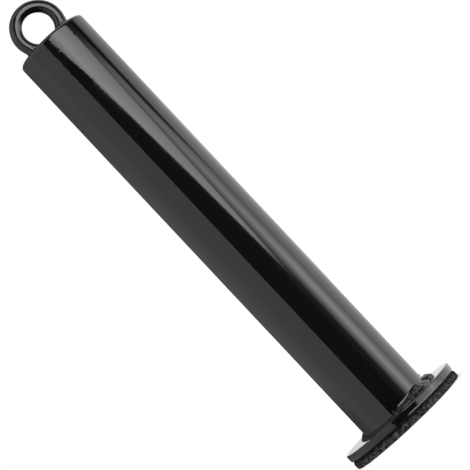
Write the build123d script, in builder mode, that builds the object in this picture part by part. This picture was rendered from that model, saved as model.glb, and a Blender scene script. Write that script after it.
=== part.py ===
"""A weight-plate loading pin: a capped steel sleeve standing on a round flange with a glued rubber sole.

The sleeve is a length of pipe that 2 inch plates drop over. Its lower end is fillet-welded to the flange in
three runs, its upper end is closed by a welded disc whose corner is ground round, and a bent-bar eye stands on
that disc on its two welded ends. Everything but the sole is one rigid steel weldment.

Frame: origin at the centre of the sole's underside, +Z up along the sleeve, the eye lying in the XZ plane.
Every length is in millimetres and every angle in degrees.
"""

import os
from math import cos, radians, sin, sqrt

from build123d import *

# Sleeve: 1.5 inch nominal pipe
TUBE_OD = 48.3
TUBE_WALL = 3.6
SLEEVE_LENGTH = 303.2  # from the flange's upper face to the top of the end cap

# Base: rubber sole, glue film and flange, from the floor up
PAD_D = 82.0
PAD_T = 5.5
PAD_EDGE_R = 0.8
GLUE_D = 80.0
GLUE_T = 0.25
FLANGE_D = 82.4
FLANGE_T = 4.76
FLANGE_EDGE_R = 0.7

# End cap, and the groove weld round it that is ground to the sleeve's corner radius
CAP_T = 6.0
CAP_CHAMFER = 0.8
CORNER_R = 2.7
CAP_WELD_DEPTH = 3.4

# Lifting eye: a bar bent to an open loop, its two ends cut off level with the end cap
EYE_BAR_D = 7.8
EYE_LOOP_R = 13.7  # centreline radius of the loop
EYE_END_ANGLE = 58  # how far below the horizontal each end of the bar reaches
EYE_CENTRE_RISE = 10.6  # loop centre above the end cap

# Weld round each end of the eye: an oval mound that fills the wedge under the leaning bar
EYE_WELD_RISE = 5.6
EYE_WELD_TOE = (4.2, 16.5)  # nearest and furthest from the loop's own axis, on the end cap
EYE_WELD_CREST = (8.6, 17.0)  # the same at the mound's top
EYE_WELD_TOE_WIDTH = 11.8
EYE_WELD_CREST_WIDTH = 8.8

# Base weld: each run's start and sweep about +Z, and its leg along the flange
BASE_WELD_RUNS = {
    "base_weld_front_left": (132.0, 122.0, 4.2),
    "base_weld_front_right": (254.0, 86.0, 5.0),
    "base_weld_back": (340.0, 152.0, 6.6),
}
WELD_TUBE_LEG = 4.8  # every run's leg up the sleeve
WELD_PENETRATION = 0.5  # how deep the run has fused into the flange and into the pipe's wall
WELD_CROWN = 0.35  # how far the run's face bulges past the straight line between its toes

TUBE_R = TUBE_OD / 2
BORE_R = TUBE_R - TUBE_WALL
GLUE_Z = PAD_T
FLANGE_Z = GLUE_Z + GLUE_T
FLANGE_TOP = FLANGE_Z + FLANGE_T
CAP_TOP = FLANGE_TOP + SLEEVE_LENGTH
TUBE_TOP = CAP_TOP - CAP_WELD_DEPTH
EYE_Z = CAP_TOP + EYE_CENTRE_RISE


def make_rubber_pad():
    """The rubber sole, with both edges eased."""
    with BuildPart() as rubber_pad:
        with BuildSketch(Plane.XY):
            Circle(PAD_D / 2)
        extrude(amount=PAD_T)
        fillet(rubber_pad.edges().filter_by(GeomType.CIRCLE), PAD_EDGE_R)
    return rubber_pad.part


def make_pad_adhesive():
    """The film of contact cement between the sole and the flange."""
    with BuildPart() as pad_adhesive:
        with BuildSketch(Plane.XY.offset(GLUE_Z)):
            Circle(GLUE_D / 2)
        extrude(amount=GLUE_T)
    return pad_adhesive.part


def make_base_weld(start, sweep_angle, flange_leg):
    """One run of the fillet weld between sleeve and flange, as a sector of a ring."""
    toe = (TUBE_R + flange_leg, FLANGE_TOP)
    crest = (TUBE_R, FLANGE_TOP + WELD_TUBE_LEG)
    root_r = TUBE_R - WELD_PENETRATION
    root_z = FLANGE_TOP - WELD_PENETRATION
    slant = sqrt(flange_leg**2 + WELD_TUBE_LEG**2)
    bulge = (
        (toe[0] + crest[0]) / 2 + WELD_CROWN * WELD_TUBE_LEG / slant,
        (toe[1] + crest[1]) / 2 + WELD_CROWN * flange_leg / slant,
    )
    with BuildPart() as weld_run:
        with BuildSketch(Plane.XZ):
            with BuildLine():
                ThreePointArc(toe, bulge, crest)
                Polyline(crest, (root_r, crest[1]), (root_r, root_z), (toe[0], root_z), toe)
            make_face()
        revolve(axis=Axis.Z, revolution_arc=sweep_angle)
    return weld_run.part.rotate(Axis.Z, start)


def make_base_flange(weld_runs):
    """The steel disc, fused away where the weld runs bite into its upper face."""
    with BuildPart() as base_flange:
        with BuildSketch(Plane.XY.offset(FLANGE_Z)):
            Circle(FLANGE_D / 2)
        extrude(amount=FLANGE_T)
        fillet(base_flange.edges().filter_by(GeomType.CIRCLE), FLANGE_EDGE_R)
        for weld_run in weld_runs:
            add(weld_run, mode=Mode.SUBTRACT)
    return base_flange.part


def make_tube(weld_runs):
    """The pipe, cut square at both ends and fused away where the weld runs bite into its wall."""
    with BuildPart() as tube:
        with BuildSketch(Plane.XY.offset(FLANGE_TOP)):
            Circle(TUBE_R)
            Circle(BORE_R, mode=Mode.SUBTRACT)
        extrude(amount=TUBE_TOP - FLANGE_TOP)
        for weld_run in weld_runs:
            add(weld_run, mode=Mode.SUBTRACT)
    return tube.part


def make_end_cap():
    """The disc let into the mouth of the pipe, chamfered for its weld."""
    with BuildPart() as end_cap:
        with BuildSketch(Plane.XY.offset(CAP_TOP - CAP_T)):
            Circle(BORE_R)
        extrude(amount=CAP_T)
        chamfer(end_cap.edges().filter_by(GeomType.CIRCLE).sort_by(Axis.Z)[-1], CAP_CHAMFER)
    return end_cap.part


def make_end_cap_weld():
    """The groove weld on the pipe's end, ground flush with the cap and round at the corner."""
    corner_centre = (TUBE_R - CORNER_R, CAP_TOP - CORNER_R)
    corner_middle = (
        corner_centre[0] + CORNER_R * cos(radians(45)),
        corner_centre[1] + CORNER_R * sin(radians(45)),
    )
    with BuildPart() as end_cap_weld:
        with BuildSketch(Plane.XZ):
            with BuildLine():
                Polyline(
                    (corner_centre[0], CAP_TOP),
                    (BORE_R - CAP_CHAMFER, CAP_TOP),
                    (BORE_R, CAP_TOP - CAP_CHAMFER),
                    (BORE_R, TUBE_TOP),
                    (TUBE_R, TUBE_TOP),
                    (TUBE_R, corner_centre[1]),
                )
                ThreePointArc((TUBE_R, corner_centre[1]), corner_middle, (corner_centre[0], CAP_TOP))
            make_face()
        revolve(axis=Axis.Z)
    return end_cap_weld.part


def make_lifting_eye():
    """The bent bar, cut off level where it stands on the end cap."""
    with BuildPart() as lifting_eye:
        with BuildLine(Plane.XZ) as bar_path:
            CenterArc((0, EYE_Z), EYE_LOOP_R, -EYE_END_ANGLE, 180 + 2 * EYE_END_ANGLE)
        with BuildSketch(Plane(origin=bar_path.wires()[0] @ 0, z_dir=bar_path.wires()[0] % 0)):
            Circle(EYE_BAR_D / 2)
        sweep(path=bar_path.wires()[0])
        split(bisect_by=Plane.XY.offset(CAP_TOP), keep=Keep.TOP)
    return lifting_eye.part


def make_eye_weld(side, lifting_eye):
    """The weld round one end of the eye: side is +1 for +X and -1 for -X."""
    with BuildPart() as eye_weld:
        for height, (inner, outer), width in (
            (CAP_TOP, EYE_WELD_TOE, EYE_WELD_TOE_WIDTH),
            (CAP_TOP + EYE_WELD_RISE, EYE_WELD_CREST, EYE_WELD_CREST_WIDTH),
        ):
            with BuildSketch(Plane.XY.offset(height)):
                with Locations((side * (inner + outer) / 2, 0)):
                    Ellipse((outer - inner) / 2, width / 2)
        loft()
        add(lifting_eye, mode=Mode.SUBTRACT)
    return eye_weld.part


def main():
    weld_runs = {name: make_base_weld(*sizes) for name, sizes in BASE_WELD_RUNS.items()}
    lifting_eye = make_lifting_eye()
    pieces = {
        "rubber_pad": make_rubber_pad(),
        "pad_adhesive": make_pad_adhesive(),
        "base_flange": make_base_flange(weld_runs.values()),
        "tube": make_tube(weld_runs.values()),
        "end_cap": make_end_cap(),
        "end_cap_weld": make_end_cap_weld(),
        "lifting_eye": lifting_eye,
        "eye_weld_left": make_eye_weld(-1, lifting_eye),
        "eye_weld_right": make_eye_weld(1, lifting_eye),
        **weld_runs,
    }
    os.makedirs("parts", exist_ok=True)
    for name, part in pieces.items():
        part.label = name
        export_step(part, f"parts/{name}.step")
        print(name, len(part.solids()), "solid(s)", round(part.volume), "mm3")


main()
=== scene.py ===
"""Looks of the loading pin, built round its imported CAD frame.

The pin is a steel weldment under gloss black enamel, standing on a sole of bonded rubber crumb.
Shapes are worked out in millimetres in the CAD model's frame: +Z up from the middle of the sole's
underside, with the eye's loop in the XZ plane. Meshes are made in metres.
"""

from math import ceil, cos, exp, hypot, pi, radians, sin, sqrt, tan

import bmesh
import bpy
import numpy as np
from mathutils import Matrix, Vector, noise


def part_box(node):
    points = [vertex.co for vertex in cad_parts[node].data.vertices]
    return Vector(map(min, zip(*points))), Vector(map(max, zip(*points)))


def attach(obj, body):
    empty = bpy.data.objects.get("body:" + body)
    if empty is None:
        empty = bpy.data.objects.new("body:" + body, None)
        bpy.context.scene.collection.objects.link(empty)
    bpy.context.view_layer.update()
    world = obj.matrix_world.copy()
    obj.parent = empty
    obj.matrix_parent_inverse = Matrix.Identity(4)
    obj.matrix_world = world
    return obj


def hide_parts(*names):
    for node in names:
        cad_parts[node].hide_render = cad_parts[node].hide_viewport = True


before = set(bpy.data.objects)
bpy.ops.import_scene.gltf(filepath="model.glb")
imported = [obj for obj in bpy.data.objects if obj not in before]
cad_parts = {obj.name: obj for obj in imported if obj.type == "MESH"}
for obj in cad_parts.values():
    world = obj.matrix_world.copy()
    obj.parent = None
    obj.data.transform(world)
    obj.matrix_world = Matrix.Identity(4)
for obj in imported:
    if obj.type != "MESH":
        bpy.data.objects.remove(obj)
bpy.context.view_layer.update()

MM = 0.001


def node_box(node):
    """A CAD node's lowest and highest corners, in millimetres."""
    low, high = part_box(node)
    return Vector(low) / MM, Vector(high) / MM


# Heights and radii that the pieces share, read from the CAD frame
PAD_TOP = node_box("rubber_pad")[1].z
PAD_R = node_box("rubber_pad")[1].x
FLANGE_BOTTOM = node_box("base_flange")[0].z
FLANGE_TOP = node_box("base_flange")[1].z
FLANGE_R = node_box("base_flange")[1].x
TUBE_R = node_box("tube")[1].x
TUBE_TOP = node_box("tube")[1].z
CAP_TOP = node_box("end_cap")[1].z
CAP_BOTTOM = node_box("end_cap")[0].z
CAP_R = node_box("end_cap")[1].x
EYE_BAR_R = (node_box("lifting_eye")[1].y - node_box("lifting_eye")[0].y) / 2
EYE_TOP = node_box("lifting_eye")[1].z

# Edges, in millimetres
FLANGE_EDGE_R = 0.7
CORNER_R = 2.7
CAP_CHAMFER = 0.8

# Meshes: edges folded more than this look sharp, and points closer to the axis than this lie on it
SHARP_ANGLE = radians(40)
ON_AXIS = 1e-6

# Lifting eye, as in the CAD model
EYE_LOOP_R = 13.7
EYE_END_ANGLE = 58.0
EYE_Z = EYE_TOP - EYE_BAR_R - EYE_LOOP_R

# Camera: where it stands about the pin's axis, how far, and how far it is rolled
CAMERA_AZIMUTH = radians(-9.7)
CAMERA_ELEVATION = radians(-2.1)
CAMERA_DISTANCE = 1.318
CAMERA_ROLL = radians(-43.2)
CAMERA_AIM_HEIGHT = 0.1524
CAMERA_AIM_SIDE = 0.0011
CAMERA_LENS = 168.5
SENSOR_WIDTH = 36.0


# ---------------------------------------------------------------- camera

def camera_axes():
    """Unit vectors of the unrolled camera: to its right, up, and back from the subject."""
    back = Vector(
        (
            sin(CAMERA_AZIMUTH) * cos(CAMERA_ELEVATION),
            -cos(CAMERA_AZIMUTH) * cos(CAMERA_ELEVATION),
            sin(CAMERA_ELEVATION),
        )
    )
    right = (-back).cross(Vector((0, 0, 1))).normalized()
    return right, right.cross(-back), back


def make_camera():
    """The camera, rolled so that the pin leans across the picture."""
    right, up, back = camera_axes()
    aim = right * CAMERA_AIM_SIDE + Vector((0, 0, CAMERA_AIM_HEIGHT))
    rolled_right = right * cos(CAMERA_ROLL) + up * sin(CAMERA_ROLL)
    rolled_up = up * cos(CAMERA_ROLL) - right * sin(CAMERA_ROLL)
    data = bpy.data.cameras.new("camera")
    data.lens, data.sensor_width = CAMERA_LENS, SENSOR_WIDTH
    camera = bpy.data.objects.new("camera", data)
    camera.matrix_world = Matrix.Translation(aim + back * CAMERA_DISTANCE) @ Matrix(
        (rolled_right, rolled_up, back)
    ).transposed().to_4x4()
    bpy.context.scene.collection.objects.link(camera)
    bpy.context.scene.camera = camera


# ---------------------------------------------------------------- mesh helpers

def new_object(name, vertices, faces, material, smooth=True, unit=MM):
    """A mesh object made from lists of points and faces."""
    mesh = bpy.data.meshes.new(name)
    mesh.from_pydata([tuple(c * unit for c in v) for v in vertices], [], faces)
    mesh.polygons.foreach_set("use_smooth", [smooth] * len(faces))
    mesh.materials.append(material)
    mesh.update()
    thing = bpy.data.objects.new(name, mesh)
    bpy.context.scene.collection.objects.link(thing)
    return thing


def place_piece(piece, slot, *nodes):
    """Turns a finished piece's normals outwards, and hands it to the frame.

    It rides on the pin, and stands for those CAD nodes.
    """
    shape = bmesh.new()
    shape.from_mesh(piece.data)
    bmesh.ops.recalc_face_normals(shape, faces=shape.faces)
    shape.to_mesh(piece.data)
    shape.free()
    piece.data.set_sharp_from_angle(angle=SHARP_ANGLE)
    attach(piece, "root")
    if nodes:
        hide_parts(*nodes)
    return piece


def arc(centre, radius, start, end, steps):
    """Points of an arc in the (radius, height) plane, from one angle to another in degrees."""
    angles = [radians(start + (end - start) * i / steps) for i in range(steps + 1)]
    return [(centre[0] + radius * cos(a), centre[1] + radius * sin(a)) for a in angles]


def line(start, end, steps):
    """Points along a straight line, without its first one."""
    return [
        tuple(s + (e - s) * i / steps for s, e in zip(start, end))
        for i in range(1, steps + 1)
    ]


def lathe(name, outline, material, segments, closed=False, shift=None):
    """Turns an outline of (radius, height) points about Z; shift(angle, radius, height) roughens it.

    An open outline starts and ends on the axis, where each end is a single point.
    """
    vertices, rings = [], []
    for radius, height in outline:
        first = len(vertices)
        if radius < ON_AXIS:
            vertices.append((0, 0, height))
            rings.append([first] * segments)
            continue
        for i in range(segments):
            angle = 2 * pi * i / segments
            r, z = shift(angle, radius, height) if shift else (radius, height)
            vertices.append((r * cos(angle), r * sin(angle), z))
        rings.append(list(range(first, first + segments)))
    pairs = list(zip(rings, rings[1:]))
    if closed:
        pairs.append((rings[-1], rings[0]))
    faces = []
    for lower, upper in pairs:
        for i in range(segments):
            j = (i + 1) % segments
            corners = [lower[i], lower[j], upper[j], upper[i]]
            faces.append(tuple(dict.fromkeys(corners)))
    return new_object(name, vertices, faces, material)


def grid_faces(rows, columns, wrap=False):
    """Quads of a grid of rows by columns, its columns joined round when wrap is set."""
    last = columns if wrap else columns - 1
    return [
        (
            r * columns + c,
            r * columns + (c + 1) % columns,
            (r + 1) * columns + (c + 1) % columns,
            (r + 1) * columns + c,
        )
        for r in range(rows - 1)
        for c in range(last)
    ]


def end_faces(rows, columns):
    """The two faces that close a wrapped grid at its first and its last row."""
    first = tuple(range(columns))
    last = range((rows - 1) * columns, rows * columns)
    return [first, tuple(reversed(last))]


def wobble(x, y, z, size, seed=0.0):
    """Smooth noise between about -1 and 1, with lumps of that size."""
    return noise.noise(Vector((x / size + seed, y / size - seed, z / size)))


def ease(value, low, high):
    """0 below low, 1 above high, and smooth between; works on numbers and arrays."""
    share = np.clip((value - low) / (high - low), 0.0, 1.0)
    return share * share * (3 - 2 * share)


def fade(value, low, high):
    """1 below low, 0 above high, and smooth between."""
    return ease(-value, -high, -low)


def hump(value, middle, spread):
    """A smooth hill, 1 at its middle."""
    return exp(-(((value - middle) / spread) ** 2))


# ---------------------------------------------------------------- studio

# A painted dome stands far round the pin, and a small canopy of the same light hangs close over
# its eye. Only reflections see them. Their light is laid out as the sleeve mirrors it: by bearing,
# in degrees from the camera's side and growing to its right, and by rise, in degrees above the
# level. Each ease or fade is a light's edge, from where it starts to where it is complete, and a
# level of 1 is as bright as the white surroundings.
DOME_R = 30000.0
CANOPY_R = 130.0
CANOPY_BOTTOM = 290.0
STUDIO_TINT = (1.02, 0.985, 0.99)
UNLIT = 0.02
CAMERA_HEIGHT = (CAMERA_AIM_HEIGHT + CAMERA_DISTANCE * sin(CAMERA_ELEVATION)) / MM
TOP_RISE = 8.8  # rise at the canopy's join, above which its rows go by their slope


def left_wall(bearing, rise):
    """The pale wall on the left, fading low down and towards a black flag behind the pin."""
    level = 0.98 + 0.25 * ease(rise, 9, 24)
    low_down = 0.12 + 0.88 * ease(rise, -48, 0)
    dim_ends = 0.5 * fade(rise, -3.8, -2.0) * ease(rise, -5.2, -4.5) + 0.3 * ease(rise, 4, 7)
    far_left = 1 - fade(bearing, -130, -85) * dim_ends
    towards_flag = 0.03 + 0.97 * ease(bearing, -182, -78)
    return level * low_down * far_left * towards_flag


def main_softbox(bearing, rise):
    """The large softbox to the camera's right, hottest along a line and slanting at its lower left."""
    hot_line, slant_top, widest = 22, 8.6, 8
    slant = 43.2 - 1.9 * rise - 0.29 * rise**2 - 5 * ease(rise, 7.2, 8.9)
    left = np.where(rise < slant_top, slant, 10 * ease(rise, slant_top, 16) - 1.5)
    right = np.where(rise < widest, 46 + 2.4 * rise, 67 - 0.9 * (rise - widest))
    past_line = bearing - hot_line
    level = np.where(past_line < 0, 5.4 + 0.13 * past_line, 5.5 - 0.052 * past_line)
    blur = 3 + 4 * ease(rise, 9, 12)
    level = level * ease(bearing, left - 1.5, left + 2.5) * fade(bearing, right - blur, right + blur)
    return level * ease(rise, 0.2, 2.0) * fade(rise, 38, 46)


def second_light(bearing, rise):
    """A narrower light beside it, brightest along its middle and fading out upwards."""
    start, middle, blur = 47, 72, 2
    growing = (bearing - start) / (middle - start)
    shrinking = 1 - 0.029 * (bearing - middle)
    profile = np.clip(np.where(bearing < middle, growing, shrinking), 0, 1)
    end = 99 - 15 * ease(rise, 2.5, 6.5)
    level = (4.8 - 0.36 * np.clip(rise, 0, 12)) * fade(rise, 7.0, 9.2)
    return level * profile * fade(bearing, end - blur, end + blur)


def right_wall(bearing, rise):
    """The pale wall on the right, which starts further round the higher it is."""
    climb = np.clip(rise - 6.8, 0, 9)
    start = 95 + 2.6 * climb
    blur = 4 + 1.8 * climb
    level = (1.85 - 0.72 * ease(bearing, 100, 165)) * (1 - 0.2 * ease(rise, 4.5, 7.5))
    return level * ease(bearing, start - blur, start + blur)


def low_light(bearing, rise):
    """A light below the camera for the flange's rim, whose lowest part reaches further left."""
    lowest = 4.8 * ease(bearing, 4, 12) * fade(rise, -10.5, -9.5) * ease(rise, -19, -16)
    upper = 2.6 * ease(bearing, 29, 39) * fade(rise, -5.6, -5.0) * ease(rise, -10.5, -9.5)
    return np.maximum(lowest, upper) * fade(bearing, 92, 108)


def studio_light(bearing, rise):
    """How bright the studio is in a direction: the brightest of all that stands there."""
    light = np.full(bearing.shape, UNLIT)
    grey_screen = 0.16 * ease(bearing, 22, 48) * fade(rise, 6, 9)
    grey_corner = 0.3 * ease(bearing, 68, 80) * ease(rise, 9, 16)
    ceiling = 0.5 * ease(rise, 48, 60)
    wall_end = -21.2 + 75 * ease(rise, 50, 80)
    on_left = fade(bearing, wall_end, wall_end + 1.3)
    for grey in (grey_screen, left_wall(bearing, rise) * on_left, grey_corner, ceiling):
        light = np.maximum(light, grey)
    for lamp in (main_softbox, second_light, right_wall, low_light):
        light = np.maximum(light, lamp(bearing, rise))
    backdrop_edge = 169 + 1.1 * np.clip(np.abs(rise - 2.4), 0, 8) * ease(rise, -3.4, -2.8)
    backdrop = ease(np.abs(bearing), backdrop_edge, backdrop_edge + 5)
    return np.maximum(light, backdrop * ease(rise, -12, -4) * fade(rise, 12, 40))


def glow_material():
    """An unlit surface as bright as its mesh's glow attribute says."""
    material = bpy.data.materials.new("studio_glow")
    material.use_nodes = True
    nodes, links = material.node_tree.nodes, material.node_tree.links
    nodes.clear()
    glow = nodes.new("ShaderNodeAttribute")
    glow.attribute_name = "glow"
    emission = nodes.new("ShaderNodeEmission")
    emission.inputs["Color"].default_value = (*STUDIO_TINT, 1)
    output = nodes.new("ShaderNodeOutputMaterial")
    links.new(glow.outputs["Fac"], emission.inputs["Strength"])
    links.new(emission.outputs[0], output.inputs["Surface"])
    material.cycles.emission_sampling = "NONE"
    return material


def dome_rows():
    """Each row of the dome: its radius and height, closest together where the sleeve mirrors it."""
    fine_from, fine_to, fine_step = -12, 14, 0.1
    below = np.arange(-89, fine_from, 1.0)
    beside = np.arange(fine_from, fine_to, fine_step)
    above = np.arange(fine_to, 90, 1.0)
    slopes = np.radians(np.concatenate([below, beside, above]))
    return DOME_R * np.cos(slopes), CAMERA_HEIGHT + DOME_R * np.sin(slopes)


def canopy_rows():
    """Each row of the canopy: a wall round the eye that bends over into a roof.

    The slopes are those of the rows above the join, seen from the axis; up to roof_slope the wall
    goes straight on, and beyond it the roof is round.
    """
    wall_rows, roof_slope = 24, 60
    join = CAMERA_HEIGHT + (CAMERA_DISTANCE / MM + CANOPY_R - TUBE_R) * tan(radians(TOP_RISE))
    slopes = np.arange(1, 89)
    distances = CANOPY_R / np.cos(np.radians(np.minimum(slopes, roof_slope)))
    upper_radii = distances * np.cos(np.radians(slopes))
    upper_heights = max(join, EYE_Z) + distances * np.sin(np.radians(slopes))
    radii = np.concatenate([np.full(wall_rows, CANOPY_R), upper_radii])
    heights = np.concatenate([np.linspace(CANOPY_BOTTOM, join, wall_rows), upper_heights])
    return radii, heights, slopes


def sleeve_rise(radius, height):
    """How steeply the sleeve mirrors the camera up to a point, in degrees."""
    return np.degrees(np.arctan2(height - CAMERA_HEIGHT, CAMERA_DISTANCE / MM + radius - TUBE_R))


def mirrored_bearing(bearing, radius):
    """The direction in which the sleeve mirrors the camera on to a point that far out.

    It has no plain formula, so it is found by improving a first guess.
    """
    rounds = 6
    direction = bearing.copy()
    for _ in range(rounds):
        half = np.sin(np.radians(direction / 2))
        direction = bearing + np.degrees(np.arcsin(np.clip(TUBE_R / radius * half, -1, 1)))
    return direction


def make_shell(name, radius, height, rise, material, reach):
    """A shell round the pin, whose points carry the light painted there.

    radius, height and rise are given row by row, and reach is how far out the shell stands.
    """
    bearings = np.linspace(-180, 180, 721)
    radius, height, rise = radius[:, None], height[:, None], rise[:, None]
    right, _, back = camera_axes()
    front = Vector((back.x, back.y, 0)).normalized()
    forward, sideways = np.cos(np.radians(bearings)), np.sin(np.radians(bearings))
    x = radius * (forward * front.x + sideways * right.x)
    y = radius * (forward * front.y + sideways * right.y)
    points = np.stack(np.broadcast_arrays(x, y, height), axis=-1).reshape(-1, 3)
    faces = grid_faces(len(rise), len(bearings))
    shell = new_object(name, points.tolist(), faces, material, smooth=False)
    glow = studio_light(*np.broadcast_arrays(mirrored_bearing(bearings, reach), rise))
    shell.data.attributes.new("glow", "FLOAT", "POINT").data.foreach_set("value", glow.ravel())
    shell.visible_camera = False
    shell.visible_diffuse = False
    shell.visible_shadow = False


def make_studio():
    """The dome and the canopy."""
    material = glow_material()
    radius, height = dome_rows()
    make_shell("studio_dome", radius, height, sleeve_rise(radius, height), material, DOME_R)
    radius, height, slopes = canopy_rows()
    rise = sleeve_rise(radius, height)
    rise[-len(slopes):] = np.maximum(TOP_RISE, slopes)
    make_shell("studio_canopy", radius, height, rise, material, CANOPY_R)


def make_world():
    """Even white surroundings, which light everything that isn't glossy."""
    world = bpy.data.worlds.new("studio")
    world.use_nodes = True
    background = world.node_tree.nodes["Background"]
    background.inputs["Color"].default_value = (1, 1, 1, 1)
    background.inputs["Strength"].default_value = 1.0
    bpy.context.scene.world = world
    bpy.context.scene.view_settings.view_transform = "Standard"
    bpy.context.scene.cycles.use_denoising = True


def make_floor():
    """A pale floor, bright enough to run into the backdrop without a horizon."""
    material = bpy.data.materials.new("floor")
    material.use_nodes = True
    shader = material.node_tree.nodes["Principled BSDF"]
    shader.inputs["Base Color"].default_value = (0.8, 0.8, 0.8, 1)
    shader.inputs["Roughness"].default_value = 0.9
    shader.inputs["Specular IOR Level"].default_value = 0.0
    shader.inputs["Emission Color"].default_value = (1, 1, 1, 1)
    shader.inputs["Emission Strength"].default_value = 0.4
    size = 12.0
    corners = [(-size, -size, 0), (size, -size, 0), (size, size, 0), (-size, size, 0)]
    floor = new_object("floor", corners, [(0, 1, 2, 3)], material, smooth=False, unit=1.0)
    floor.visible_glossy = False


# ---------------------------------------------------------------- materials

def noise_node(nodes, links, place, scale, detail):
    """A noise texture on the object's own coordinates."""
    texture = nodes.new("ShaderNodeTexNoise")
    texture.inputs["Scale"].default_value = scale
    texture.inputs["Detail"].default_value = detail
    links.new(place.outputs["Object"], texture.inputs["Vector"])
    return texture


def add_bump(nodes, links, texture, distance, before=None):
    """A bump of that depth in metres, laid over an earlier one if there is one."""
    bump = nodes.new("ShaderNodeBump")
    bump.inputs["Strength"].default_value = 1.0
    bump.inputs["Distance"].default_value = distance
    links.new(texture.outputs[0], bump.inputs["Height"])
    if before:
        links.new(before.outputs["Normal"], bump.inputs["Normal"])
    return bump


def enamel(name, peel_depth, low_ripple, high_ripple, roughness=(0.035, 0.075), specular=0.5):
    """Gloss black enamel over steel: fine orange peel, and a longer ripple, deeper near the top.

    Depths are in metres, and roughness is its smoothest and its roughest.
    """
    material = bpy.data.materials.new(name)
    material.use_nodes = True
    nodes, links = material.node_tree.nodes, material.node_tree.links
    shader = nodes["Principled BSDF"]
    shader.inputs["IOR"].default_value = 1.5
    shader.inputs["Specular IOR Level"].default_value = specular
    place = nodes.new("ShaderNodeTexCoord")

    tone = nodes.new("ShaderNodeValToRGB")
    tone.color_ramp.elements[0].color = (0.0032, 0.0031, 0.0031, 1)
    tone.color_ramp.elements[1].color = (0.0050, 0.0048, 0.0048, 1)
    links.new(noise_node(nodes, links, place, scale=60, detail=4).outputs["Fac"], tone.inputs["Fac"])
    links.new(tone.outputs["Color"], shader.inputs["Base Color"])

    gloss = nodes.new("ShaderNodeMapRange")
    gloss.inputs["To Min"].default_value = roughness[0]
    gloss.inputs["To Max"].default_value = roughness[1]
    patches = noise_node(nodes, links, place, scale=140, detail=3)
    links.new(patches.outputs["Fac"], gloss.inputs["Value"])
    links.new(gloss.outputs["Result"], shader.inputs["Roughness"])

    # The coat has run near the top, so the ripple deepens between these heights, in metres
    runs_start, runs_full = 0.270, 0.305
    height = nodes.new("ShaderNodeSeparateXYZ")
    links.new(place.outputs["Object"], height.inputs["Vector"])
    runs = nodes.new("ShaderNodeMapRange")
    runs.inputs["From Min"].default_value = runs_start
    runs.inputs["From Max"].default_value = runs_full
    runs.inputs["To Min"].default_value = low_ripple / high_ripple
    links.new(height.outputs["Z"], runs.inputs["Value"])
    swell = nodes.new("ShaderNodeMath")
    swell.operation = "MULTIPLY"
    waves = noise_node(nodes, links, place, scale=480, detail=1)
    links.new(waves.outputs["Fac"], swell.inputs[0])
    links.new(runs.outputs["Result"], swell.inputs[1])
    ripple = add_bump(nodes, links, swell, high_ripple)
    peel = noise_node(nodes, links, place, scale=700, detail=1)
    surface = add_bump(nodes, links, peel, peel_depth, ripple)
    links.new(surface.outputs["Normal"], shader.inputs["Normal"])
    return material


def crumb_rubber(name):
    """Bonded crumb rubber: dark grains of different greys, with painted shade darkening the upper
    edge.
    """
    material = bpy.data.materials.new(name)
    material.use_nodes = True
    nodes, links = material.node_tree.nodes, material.node_tree.links
    shader = nodes["Principled BSDF"]
    shader.inputs["Roughness"].default_value = 0.82
    shader.inputs["Specular IOR Level"].default_value = 0.3
    place = nodes.new("ShaderNodeTexCoord")

    grains = nodes.new("ShaderNodeTexVoronoi")
    grains.inputs["Scale"].default_value = 850
    links.new(place.outputs["Object"], grains.inputs["Vector"])
    tone = nodes.new("ShaderNodeValToRGB")
    tone.color_ramp.elements[0].color = (0.002, 0.002, 0.002, 1)
    tone.color_ramp.elements[0].position = 0.25
    tone.color_ramp.elements[1].color = (0.095, 0.095, 0.096, 1)
    split = nodes.new("ShaderNodeSeparateColor")
    links.new(grains.outputs["Color"], split.inputs["Color"])
    links.new(split.outputs["Red"], tone.inputs["Fac"])

    # Painted shade: the top of the cut edge, in the gap under the flange, is darkened. The shade
    # deepens between the first two of these heights, in metres, which the noise shifts by up to the
    # third
    shade_start, shade_full, shade_reach = 0.0051, 0.0065, 0.004
    height = nodes.new("ShaderNodeSeparateXYZ")
    links.new(place.outputs["Object"], height.inputs["Vector"])
    shade_height = nodes.new("ShaderNodeMath")
    shade_height.operation = "MULTIPLY_ADD"
    shade_height.inputs[1].default_value = shade_reach
    patches = noise_node(nodes, links, place, scale=420, detail=2)
    links.new(patches.outputs["Fac"], shade_height.inputs[0])
    links.new(height.outputs["Z"], shade_height.inputs[2])
    # How much painted shade falls at each height near the sole's top
    top_shade = nodes.new("ShaderNodeMapRange")
    top_shade.inputs["From Min"].default_value = shade_start
    top_shade.inputs["From Max"].default_value = shade_full
    top_shade.inputs["To Min"].default_value = 0.85
    top_shade.inputs["To Max"].default_value = 0.10
    links.new(shade_height.outputs[0], top_shade.inputs["Value"])
    # The grains' colour darkened by the painted shade
    shaded_grains = nodes.new("ShaderNodeVectorMath")
    shaded_grains.operation = "SCALE"
    links.new(tone.outputs["Color"], shaded_grains.inputs[0])
    links.new(top_shade.outputs["Result"], shaded_grains.inputs["Scale"])
    links.new(shaded_grains.outputs["Vector"], shader.inputs["Base Color"])

    grit = noise_node(nodes, links, place, scale=2500, detail=3)
    surface = add_bump(nodes, links, grit, distance=1.0e-4)
    links.new(surface.outputs["Normal"], shader.inputs["Normal"])
    return material


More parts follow.
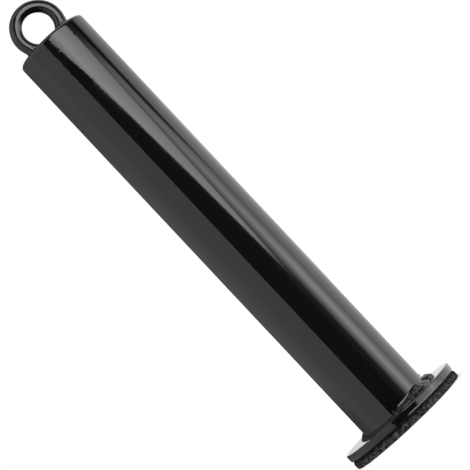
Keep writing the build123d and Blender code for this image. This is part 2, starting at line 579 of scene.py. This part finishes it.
def contact_adhesive(name):
    """A film of dried contact cement, nearly black."""
    material = bpy.data.materials.new(name)
    material.use_nodes = True
    nodes, links = material.node_tree.nodes, material.node_tree.links
    shader = nodes["Principled BSDF"]
    shader.inputs["Roughness"].default_value = 0.6
    place = nodes.new("ShaderNodeTexCoord")
    tone = nodes.new("ShaderNodeValToRGB")
    tone.color_ramp.elements[0].color = (0.004, 0.003, 0.0025, 1)
    tone.color_ramp.elements[1].color = (0.012, 0.009, 0.006, 1)
    blotches = noise_node(nodes, links, place, scale=400, detail=4)
    links.new(blotches.outputs["Fac"], tone.inputs["Fac"])
    links.new(tone.outputs["Color"], shader.inputs["Base Color"])
    strings = noise_node(nodes, links, place, scale=900, detail=2)
    surface = add_bump(nodes, links, strings, distance=8.0e-5)
    links.new(surface.outputs["Normal"], shader.inputs["Normal"])
    return material


# ---------------------------------------------------------------- sole and flange

def crumb_shift(angle, radius, height):
    """Moves a point of the sole in to the surface of its rubber grains."""
    grain_width, grain_height = 1.1, 2.4
    x, y = radius * cos(angle), radius * sin(angle)
    outwards = ease(radius, PAD_R - 3.5, PAD_R - 0.5)

    # Grooves between neighbouring grains, where the two nearest are about as far away
    place = Vector((x / grain_width, y / grain_width, height / grain_height))
    nearest, second = noise.voronoi(place)[0][:2]
    dent = 0.10 + 1.7 * max(0.0, 0.5 - (second - nearest)) ** 1.3

    # Grains torn out, most of all from the upper edge, which is set back and droops here and there;
    # the lower edge lifts a little in places
    torn = max(0.0, wobble(x, y, height * 0.5, 2.6, seed=3.1) - 0.10)
    at_top = ease(height, PAD_TOP - 1.9 - 1.6 * torn, PAD_TOP - 0.6)
    dent += torn * (1.3 + 3.6 * at_top) + 0.75 * at_top
    droop = 0.5 * at_top * max(0.0, wobble(x, y, 0, 3.0, seed=8.2))
    lift = 0.12 * fade(height, 0.0, 1.0) * max(0.0, wobble(x, y, 0, 2.2, seed=5.5))
    return radius - dent * outwards, height - droop * outwards + lift * outwards


def make_sole(material):
    """The sole, cut from a sheet of bonded rubber crumb, its edge showing the grains."""
    edge = 0.45
    inner = PAD_R - 4.5  # the mesh is finer outside this radius
    outline = [(0, 0)] + line((0, 0), (inner, 0), 4) + line((inner, 0), (PAD_R - edge, 0), 8)
    outline += arc((PAD_R - edge, edge), edge, -75, 0, 3)
    outline += line((PAD_R, edge), (PAD_R, PAD_TOP - edge), 16)
    outline += arc((PAD_R - edge, PAD_TOP - edge), edge, 15, 90, 3)
    outline += line((PAD_R - edge, PAD_TOP), (inner, PAD_TOP), 6)
    outline += line((inner, PAD_TOP), (0, PAD_TOP), 3)
    sole = lathe("sole", outline, material, 900, shift=crumb_shift)
    return place_piece(sole, "crumb_rubber", "rubber_pad")


def make_glue_film(material):
    """The film of cement, squeezed out unevenly between sole and flange."""
    edge_r = PAD_R - 1.0
    lobes_r = 9  # the noise is read round a ring of this radius: a larger one gives more lobes

    def squeeze(angle, radius, height):
        x, y = lobes_r * cos(angle), lobes_r * sin(angle)
        spread = 0.7 * wobble(x, y, 0, 1.2, seed=4.4) - 0.4
        return radius + spread * (radius / edge_r) ** 4, height

    outline = [(0, PAD_TOP)] + line((0, PAD_TOP), (edge_r, PAD_TOP), 4)
    outline += [(edge_r, FLANGE_BOTTOM)] + line((edge_r, FLANGE_BOTTOM), (0, FLANGE_BOTTOM), 4)
    film = lathe("glue_film", outline, material, 240, shift=squeeze)
    return place_piece(film, "contact_adhesive", "pad_adhesive")


def flange_shift(angle, radius, height):
    """The faint unevenness of a sawn and dressed plate edge."""
    x, y = radius * cos(angle), radius * sin(angle)
    outwards = ease(radius, FLANGE_R - 2.0, FLANGE_R - 0.4)
    dressed = 0.09 * wobble(x, y, height * 0.5, 7.0, seed=2.0)
    dressed += 0.02 * wobble(x, y, height * 0.8, 2.4, seed=9.0)
    return radius - outwards * (0.08 + dressed), height


def make_flange(material):
    """The base plate: its rim draws in a little downwards, and more steeply in the lip at its foot."""
    rim_lean, lip_lean = 0.065, 0.045
    lip_height, low_edge = 0.6, 0.35
    r, edge = FLANGE_R, FLANGE_EDGE_R
    lip_r = r - rim_lean
    low_r = lip_r - lip_lean
    low_z = FLANGE_BOTTOM + low_edge
    outline = [(0, FLANGE_BOTTOM)] + line((0, FLANGE_BOTTOM), (low_r - low_edge, FLANGE_BOTTOM), 12)
    outline += arc((low_r - low_edge, low_z), low_edge, -78, 0, 5)
    outline += line((low_r, low_z), (lip_r, low_z + lip_height), 5)
    outline += line((lip_r, low_z + lip_height), (r, FLANGE_TOP - edge), 8)
    outline += arc((r - edge, FLANGE_TOP - edge), edge, 8, 90, 7)
    outline += line((r - edge, FLANGE_TOP), (0, FLANGE_TOP), 12)
    flange = lathe("flange_plate", outline, material, 480, shift=flange_shift)
    return place_piece(flange, "black_enamel", "base_flange")


# ---------------------------------------------------------------- tube and cap

def tube_shift(angle, radius, height):
    """The slight waviness of a drawn pipe's outside, longer along it than round it."""
    if radius < TUBE_R - 0.5:
        return radius, height
    x, y = radius * cos(angle), radius * sin(angle)
    return radius + 0.012 * wobble(x, y, height * 0.35, 9.0, seed=6.0), height


def make_tube(material):
    """The sleeve: a pipe, open inside, standing on the flange and closed by the cap."""
    outline = [(TUBE_R, FLANGE_TOP)] + line((TUBE_R, FLANGE_TOP), (TUBE_R, TUBE_TOP), 150)
    outline += line((TUBE_R, TUBE_TOP), (CAP_R, TUBE_TOP), 2)
    outline += line((CAP_R, TUBE_TOP), (CAP_R, FLANGE_TOP), 30)
    tube = lathe("sleeve", outline, material, 240, closed=True, shift=tube_shift)
    return place_piece(tube, "black_enamel", "tube")


def ground_shift(angle, radius, height):
    """Flats and scallops left where the cap's weld was ground round by hand."""
    x, y = radius * cos(angle), radius * sin(angle)
    share = ease(height, CAP_TOP - 1.6, CAP_TOP - 0.5) * ease(radius, CAP_R - 0.5, CAP_R + 0.5)
    flats = 0.08 * wobble(x, y, height, 6.5, seed=1.7) + 0.03 * wobble(x, y, height, 2.4, seed=7.3)
    return radius + share * (flats - 0.03), height + share * (0.6 * flats - 0.05)


def make_cap_weld(material):
    """The weld round the cap, ground to a round corner and painted over."""
    centre = (TUBE_R - CORNER_R, CAP_TOP - CORNER_R)
    outline = [(TUBE_R, TUBE_TOP)] + arc(centre, CORNER_R, 0, 90, 14)
    outline += line((centre[0], CAP_TOP), (CAP_R - CAP_CHAMFER, CAP_TOP), 4)
    outline += line((CAP_R - CAP_CHAMFER, CAP_TOP), (CAP_R, CAP_TOP - CAP_CHAMFER), 2)
    outline += line((CAP_R, CAP_TOP - CAP_CHAMFER), (CAP_R, TUBE_TOP), 3)
    outline += line((CAP_R, TUBE_TOP), (TUBE_R, TUBE_TOP), 4)[:-1]
    ring = lathe("cap_weld", outline, material, 360, closed=True, shift=ground_shift)
    return place_piece(ring, "black_enamel", "end_cap_weld")


def make_cap(material):
    """The disc let into the pipe's mouth, a little hollow from the heat of its weld."""
    def sink(angle, radius, height):
        x, y = radius * cos(angle), radius * sin(angle)
        on_top = 1.0 if height > CAP_TOP - 0.1 else 0.0
        hollow = 0.10 * (1 - (radius / CAP_R) ** 2) + 0.02 * wobble(x, y, 0, 5.0, seed=3.3)
        return radius, height - on_top * max(0.0, hollow)

    rim = CAP_R - CAP_CHAMFER
    outline = [(0, CAP_BOTTOM)] + line((0, CAP_BOTTOM), (CAP_R, CAP_BOTTOM), 6)
    outline += line((CAP_R, CAP_BOTTOM), (CAP_R, CAP_TOP - CAP_CHAMFER), 6)
    outline += [(rim, CAP_TOP)] + line((rim, CAP_TOP), (0, CAP_TOP), 20)
    cap = lathe("cap_disc", outline, material, 180, shift=sink)
    return place_piece(cap, "black_enamel", "end_cap")


# ---------------------------------------------------------------- base weld

# A run's crest is its height on the sleeve and its leg its spread on the flange, both in millimetres
# and both by the angle about +Z, in degrees.

def left_crest(angle):
    """Height of the first run, which gets lower from the back round to the front."""
    return 1.75 + 1.15 * ((238 - angle) / 57) ** 2


def right_crest(angle):
    """Height of the second run, which swells and drops again."""
    return 2.85 + 1.75 * hump(angle, 301, 18)


def back_crest(angle):
    """Height of the third run, uneven, with a lump at its first end."""
    height = 3.7 + 0.4 * cos(radians(5 * angle)) + 0.3 * sin(radians(9 * angle + 40))
    return height + 0.9 * hump(angle, 350, 12)


def left_leg(angle):
    """Spread of the first run."""
    return 3.5 + 0.5 * cos(radians(2.2 * (angle - 180)))


def right_leg(angle):
    """Spread of the second run."""
    return 4.1 + 0.45 * sin(radians(4 * (angle - 262)))


def back_leg(angle):
    """Spread of the third run, widest in the lump at its first end."""
    return 5.0 + 0.4 * sin(radians(7 * angle)) + 1.6 * hump(angle, 349, 11)


def bead_relief(x, y, s, along, rippled, lumpy):
    """How far a bead's face stands out: crescent ripples, a trough along it, and lumps.

    s runs from 0 at the sleeve to 1 at the flange, and along is the distance welded.
    """
    ripple_length, bow = 1.45, 1.5
    crescent = along + bow * (2 * s - 1) ** 2 + 0.5 * wobble(x, y, s * 4, 3.0, seed=2.7)
    wave = (crescent / ripple_length) % 1.0
    saw_tooth = wave**2 * (1 - wave) * 6.75  # rises slowly to 1 at two thirds, and drops fast
    ripple = rippled * (saw_tooth - 0.5) * sin(pi * s) ** 0.5
    trough = -0.45 * hump(s, 0.55, 0.11)
    lumps = wobble(x, y, s * 5, 2.6, seed=5.0) + 0.35 * wobble(x, y, s * 5, 1.2, seed=1.0)
    return ripple + trough * (0.4 + rippled) + lumpy * lumps


def bead_section(height, width, taper, turned, rippled, lumpy, power):
    """One cross-section of a bead, as (radius, height) points from its crest round to its back.

    The face starts with a thin lip down the sleeve, and bulges more the higher the power.
    """
    face_points, bite = 24, 0.35
    lip_share, lip_height, lip_lean = 1 / 6, 0.8, 0.20
    section = []
    for k in range(face_points + 1):
        on_lip = min(1.0, k / face_points / lip_share)
        share = max(0.0, (k / face_points - lip_share) / (1 - lip_share))
        beta = radians(90 * (1 - share))
        out = max(cos(beta), 0.0) ** (2 / power)
        up = max(sin(beta), 0.0) ** (2 / power)
        radius = TUBE_R + (lip_lean * on_lip + (width - lip_lean) * out)
        rise = (height - lip_height * taper) * up + lip_height * taper * (1 - on_lip)
        x, y = radius * cos(turned), radius * sin(turned)
        between_edges = sin(pi * share) ** 0.6 if 0 < share < 1 else 0.0
        relief = bead_relief(x, y, share, turned * TUBE_R, rippled, lumpy)
        relief = 0.70 * (relief * between_edges * taper)
        section.append((radius + relief, FLANGE_TOP + max(0.0, rise + relief)))
    section.append((TUBE_R + width, FLANGE_TOP - bite))
    section.append((TUBE_R - bite, FLANGE_TOP - bite))
    section.append((TUBE_R - bite, FLANGE_TOP + height))
    return section


def make_base_weld(name, node, material, run, crest, leg, rippled, lumpy, blunt=5.0, power=1.5):
    """One run of weld bead: a rounded fillet between sleeve and flange.

    run is its first angle and its length, and each end draws in over blunt, all in degrees.
    """
    start, sweep = run
    step = 0.45
    steps = ceil(sweep / step)
    points = []
    for i in range(steps + 1):
        angle = start + sweep * i / steps
        turned = radians(angle)
        from_end = min(1.0, min(i, steps - i) * sweep / steps / blunt)
        taper = 0.30 + 0.70 * sqrt(from_end * (2 - from_end))
        height, width = crest(angle) * taper, leg(angle) * taper
        section = bead_section(height, width, taper, turned, rippled, lumpy, power)
        points += [(radius * cos(turned), radius * sin(turned), z) for radius, z in section]
    rows, columns = steps + 1, len(section)
    faces = grid_faces(rows, columns, wrap=True)
    faces += end_faces(rows, columns)
    bead = new_object(name, points, faces, material)
    return place_piece(bead, "black_enamel_weld", node)


def make_base_welds(material):
    """The three runs between sleeve and flange."""
    make_base_weld(
        "weld_run_left", "base_weld_front_left", material,
        (130, 125), left_crest, left_leg, rippled=0.06, lumpy=0.14,
    )
    make_base_weld(
        "weld_run_right", "base_weld_front_right", material,
        (253, 88), right_crest, right_leg, rippled=0.16, lumpy=0.42,
    )
    make_base_weld(
        "weld_run_back", "base_weld_back", material,
        (339, 153), back_crest, back_leg, rippled=0.20, lumpy=0.25, blunt=3.5, power=1.9,
    )


# ---------------------------------------------------------------- lifting eye

def make_eye(material):
    """The eye: bar bent to an open loop and sawn off level where it stands on the cap."""
    along, around = 220, 48
    spare = 8  # degrees of bar past each end, for the saw to take off
    low, high = -EYE_END_ANGLE - spare, 180 + EYE_END_ANGLE + spare
    vertices = []
    for i in range(along + 1):
        turn = radians(low + (high - low) * i / along)
        x, z = 3 * cos(turn), 3 * sin(turn)
        loop_r = EYE_LOOP_R + 0.10 * wobble(x, 0, z, 1.6, seed=4.0)
        for k in range(around):
            phi = 2 * pi * k / around
            bar_r = EYE_BAR_R + 0.02 * wobble(x, cos(phi), z, 1.0, seed=7.0) - 0.01
            reach = loop_r - 0.06 + bar_r * cos(phi)
            vertices.append((reach * cos(turn), bar_r * sin(phi), EYE_Z + reach * sin(turn)))
    eye = new_object("eye_bar", vertices, grid_faces(along + 1, around, wrap=True), material)
    cut = bmesh.new()
    cut.from_mesh(eye.data)
    bmesh.ops.bisect_plane(
        cut,
        geom=cut.verts[:] + cut.edges[:] + cut.faces[:],
        plane_co=(0, 0, CAP_TOP * MM),
        plane_no=(0, 0, 1),
        clear_inner=True,
    )
    bmesh.ops.holes_fill(cut, edges=[e for e in cut.edges if e.is_boundary])
    cut.to_mesh(eye.data)
    cut.free()
    return place_piece(eye, "black_enamel", "lifting_eye")


def make_eye_weld(side, name, node, material, rise, rough):
    """The weld round one foot of the eye: a mound that draws in to the leaning bar.

    side is +1 for the foot at +X and -1 for the other, and rise is the mound's height.
    """
    toe_in, crest_in = 4.2, 8.4  # how far out its inner side is, at the cap and at its top
    toe_out = 16.2  # how far out its outer side is at least
    toe_width, crest_width = 11.4, 8.3
    levels, around = 18, 96
    vertices = []
    for i in range(levels + 1):
        share = i / levels
        drawn_in = 1 - (1 - share) ** 2.4
        inner = toe_in + (crest_in - toe_in) * drawn_in
        bar_outside = sqrt((EYE_LOOP_R + EYE_BAR_R) ** 2 - (EYE_Z - CAP_TOP - rise * share) ** 2)
        outer = max(toe_out, bar_outside + 0.1)
        middle, half_length = (inner + outer) / 2, (outer - inner) / 2
        half_width = (toe_width + (crest_width - toe_width) * drawn_in) / 2
        z = CAP_TOP + rise * share
        for k in range(around):
            phi = 2 * pi * k / around
            x, y = half_length * cos(phi), half_width * sin(phi)
            ripple = rough * 0.5 * sin(24 * phi + 3 * share**2)
            lumps = rough * wobble(middle + x, y, z, 2.0, seed=2.0 + side)
            relief = (ripple + lumps) * sin(pi * min(1, share + 0.15))
            reach = 1 + relief / hypot(half_length, half_width) * 1.4 - 0.02
            vertices.append((side * (middle + x * reach), y * reach, z))
    faces = grid_faces(levels + 1, around, wrap=True) + end_faces(levels + 1, around)
    mound = new_object(name, vertices, faces, material)
    return place_piece(mound, "black_enamel_weld", node)


# ---------------------------------------------------------------- spatter

def make_spatter(material):
    """Beads of weld spatter and dirt nibs under the paint, as low domes let into the sleeve."""
    # Height above the floor, angle about +Z in degrees, radius, and how far it stands out
    nibs = (
        (16.0, 350.3, 0.60, 0.50),
        (263.0, 236.0, 0.50, 0.16),
        (300.5, 262.0, 0.45, 0.14),
        (221.0, 247.0, 0.40, 0.12),
        (58.0, 252.0, 0.45, 0.14),
        (95.0, 30.0, 0.50, 0.15),
        (181.0, 118.0, 0.45, 0.13),
        (27.0, 75.0, 0.60, 0.30),
        (22.5, 160.0, 0.55, 0.28),
    )
    rows, columns = 9, 20
    lobes, lobe_depth = 3, 0.12
    vertices, faces = [], []
    for height, angle, radius, proud in nibs:
        turned = radians(angle)
        out = Vector((cos(turned), sin(turned), 0))
        side = Vector((-sin(turned), cos(turned), 0))
        centre = out * TUBE_R + Vector((0, 0, height))
        base = len(vertices)
        for i in range(rows):
            lat = -0.5 * pi + pi * i / (rows - 1)
            for k in range(columns):
                lon = 2 * pi * k / columns
                spread = radius * cos(lat) * (1 + lobe_depth * sin(lobes * lon + height))
                point = centre + side * (spread * cos(lon)) + Vector((0, 0, spread * sin(lon)))
                vertices.append(tuple(point + out * (proud * sin(lat))))
        faces += [tuple(base + v for v in face) for face in grid_faces(rows, columns, wrap=True)]
    spatter = new_object("spatter", vertices, faces, material)
    joined = bmesh.new()
    joined.from_mesh(spatter.data)
    bmesh.ops.remove_doubles(joined, verts=joined.verts[:], dist=1e-6)
    joined.to_mesh(spatter.data)
    joined.free()
    return place_piece(spatter, "black_enamel_weld")


# ---------------------------------------------------------------- the pin

def build_pin():
    """Every visible piece, with its finished material."""
    black = enamel("black_enamel", peel_depth=1.6e-6, low_ripple=2.5e-6, high_ripple=6.0e-5)
    weld_black = enamel("black_enamel_weld", peel_depth=2.0e-6, low_ripple=1.1e-5, high_ripple=3.0e-5)
    cap_black = enamel(
        "black_enamel_cap",
        peel_depth=4.0e-6,
        low_ripple=3.0e-5,
        high_ripple=3.0e-5,
        roughness=(0.34, 0.52),
        specular=0.25,
    )
    make_sole(crumb_rubber("crumb_rubber"))
    make_glue_film(contact_adhesive("contact_adhesive"))
    make_flange(black)
    make_tube(black)
    make_cap_weld(black)
    make_cap(cap_black)
    make_base_welds(weld_black)
    make_eye(black)
    make_eye_weld(-1, "eye_foot_weld_left", "eye_weld_left", weld_black, rise=4.2, rough=0.06)
    make_eye_weld(1, "eye_foot_weld_right", "eye_weld_right", weld_black, rise=5.6, rough=0.24)
    make_spatter(weld_black)


make_camera()
make_world()
make_floor()
make_studio()
build_pin()
